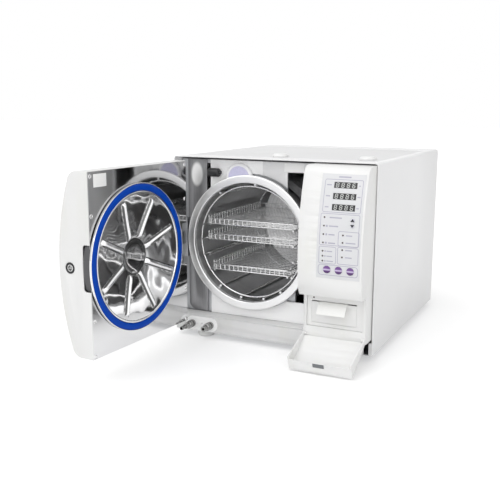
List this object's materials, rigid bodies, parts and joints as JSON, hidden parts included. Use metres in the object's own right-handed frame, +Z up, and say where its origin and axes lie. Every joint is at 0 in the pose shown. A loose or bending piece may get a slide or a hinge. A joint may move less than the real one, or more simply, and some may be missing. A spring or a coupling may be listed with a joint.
{
  "type": "steam autoclave",
  "caption": "Table-top steam steriliser with a round chamber, a side-hinged door, sliding trays and a control column with a printer.",
  "frame": {"origin": "centre of the four feet in the plane of the base tray's underside, 13 mm above the bench", "axes": "+Z up, -Y the front with the door, -X the hinge side"},
  "size_m": [0.4802, 0.8505, 0.397],
  "materials": {
    "cover_paint": "satin white powder coat",
    "white_plastic": "smooth white moulding",
    "grey_plastic": "dark grey moulding",
    "black_plastic": "black moulding",
    "sheet_steel": "brushed sheet steel",
    "chamber_steel": "brushed stainless steel",
    "bright_steel": "electropolished steel",
    "mirror_steel": "mirror-polished stainless steel",
    "blue_silicone": "smooth blue silicone",
    "foot_rubber": "black rubber",
    "film": "pale lavender-grey film",
    "display": "black display window",
    "lamp": "red lamp lens",
    "key_purple": "purple key cap",
    "filter_white": "pale lavender filter housing",
    "insulation": "mineral wool jacket",
    "board_green": "circuit board",
    "paper": "printer paper",
    "tank_plastic": "translucent white tank",
    "cast_aluminium": "cast aluminium",
    "brass_fitting": "nickel-plated coupling"
  },
  "bodies": {
    "case": {"base_tray": "sheet_steel", "feet": "foot_rubber", "outer_cover": "cover_paint", "rear_panel": "cover_paint", "base_skirt": "white_plastic", "drip_ledge": "white_plastic", "front_frame": "sheet_steel", "fascia": "white_plastic", "hinge_post": "sheet_steel", "hinge_block": "sheet_steel", "chamber_vessel": "chamber_steel", "chamber_flange": "chamber_steel", "heater_band": "cast_aluminium", "insulation_jacket": "insulation", "chamber_cradles": "sheet_steel", "lock_motor": "black_plastic", "column_housing": "white_plastic", "keypad_film": "film", "led_displays": "display", "indicator_leds": "lamp", "key_board": "board_green", "printer_body": "white_plastic", "flap_pins": "bright_steel", "tray_rack": "bright_steel", "air_filter": "filter_white", "door_switch": "black_plastic", "drain_plate": "white_plastic", "drain_valves": "brass_fitting", "water_tanks": "tank_plastic", "steam_generator": "chamber_steel", "vacuum_pump": "cast_aluminium", "fan_frame": "black_plastic", "mains_inlet": "black_plastic"},
    "door": {"door_shell": "white_plastic", "door_panel": "mirror_steel", "crossbar": "sheet_steel", "hinge_pin": "bright_steel", "lock_cup": "bright_steel", "panel_screws": "bright_steel"},
    "pressure_plate": {"door_plate": "mirror_steel", "door_seal": "blue_silicone"},
    "lid": {"top_lid": "cover_paint", "lid_grips": "white_plastic"},
    "printer_lid": {"printer_lid": "white_plastic", "paper_strip": "paper"},
    "flap": {"printer_flap": "white_plastic", "flap_catch": "grey_plastic"},
    "lock_bolt": {"lock_bolt": "bright_steel"},
    "key_left": {"key_left": "key_purple"},
    "key_middle": {"key_middle": "key_purple"},
    "key_right": {"key_right": "key_purple"},
    "key_up": {"key_up": "key_purple"},
    "key_down": {"key_down": "key_purple"},
    "platen_roller": {"platen_roller": "foot_rubber"},
    "paper_roll": {"paper_roll": "paper"},
    "tray_upper": {"tray_upper": "bright_steel"},
    "tray_middle": {"tray_middle": "bright_steel"},
    "tray_lower": {"tray_lower": "bright_steel"},
    "fan_rotor": {"fan_rotor": "black_plastic"},
    "mains_rocker": {"mains_rocker": "black_plastic"}
  },
  "joints": [
    {"name": "door_hinge", "type": "hinge", "parent": "case", "child": "door", "pos_m": [-0.2135, -0.2956, 0.201], "axis": [0, 0, -1], "range_deg": [-93.1, 12]},
    {"name": "plate_float", "type": "slide", "parent": "door", "child": "pressure_plate", "axis": [0.9985, -0.0541, 0], "range_m": [-0.0015, 0], "stiffness_N_per_m": 4000},
    {"name": "lock_bolt_slide", "type": "slide", "parent": "case", "child": "lock_bolt", "axis": [1, 0, 0], "range_m": [-0.022, 0]},
    {"name": "lid_hinge", "type": "hinge", "parent": "case", "child": "lid", "pos_m": [0, 0.1676, 0.3737], "axis": [-1, 0, 0], "range_deg": [0, 75]},
    {"name": "flap_hinge", "type": "hinge", "parent": "case", "child": "flap", "pos_m": [0.1545, -0.2905, 0.0435], "axis": [1, 0, 0], "range_deg": [-109, 0]},
    {"name": "printer_lid_hinge", "type": "hinge", "parent": "case", "child": "printer_lid", "pos_m": [0.1545, -0.2835, 0.0685], "axis": [1, 0, 0], "range_deg": [0, 60]},
    {"name": "platen_spin", "type": "hinge", "parent": "printer_lid", "child": "platen_roller", "pos_m": [0.1545, -0.2755, 0.101], "axis": [1, 0, 0], "continuous": true},
    {"name": "paper_spin", "type": "hinge", "parent": "case", "child": "paper_roll", "pos_m": [0.1545, -0.2515, 0.0853], "axis": [1, 0, 0], "continuous": true},
    {"name": "fan_spin", "type": "hinge", "parent": "case", "child": "fan_rotor", "pos_m": [0.14, 0.2355, 0.29], "axis": [0, 1, 0], "continuous": true},
    {"name": "rocker_tilt", "type": "hinge", "parent": "case", "child": "mains_rocker", "pos_m": [0.134, 0.245, 0.06], "axis": [1, 0, 0], "range_deg": [-14, 0]},
    {"name": "key_left_press", "type": "slide", "parent": "case", "child": "key_left", "axis": [0, 0.9994, 0.0354], "range_m": [0, 0.001], "stiffness_N_per_m": 300},
    {"name": "key_middle_press", "type": "slide", "parent": "case", "child": "key_middle", "axis": [0, 0.9994, 0.0354], "range_m": [0, 0.001], "stiffness_N_per_m": 300},
    {"name": "key_right_press", "type": "slide", "parent": "case", "child": "key_right", "axis": [0, 0.9994, 0.0354], "range_m": [0, 0.001], "stiffness_N_per_m": 300},
    {"name": "key_up_press", "type": "slide", "parent": "case", "child": "key_up", "axis": [0, 0.987, -0.1604], "range_m": [0, 0.001], "stiffness_N_per_m": 300},
    {"name": "key_down_press", "type": "slide", "parent": "case", "child": "key_down", "axis": [0, 0.9902, -0.1396], "range_m": [0, 0.001], "stiffness_N_per_m": 300},
    {"name": "tray_upper_slide", "type": "slide", "parent": "case", "child": "tray_upper", "axis": [0, -1, 0], "range_m": [0, 0.26]},
    {"name": "tray_middle_slide", "type": "slide", "parent": "case", "child": "tray_middle", "axis": [0, -1, 0], "range_m": [0, 0.26]},
    {"name": "tray_lower_slide", "type": "slide", "parent": "case", "child": "tray_lower", "axis": [0, -1, 0], "range_m": [0, 0.26]}
  ]
}
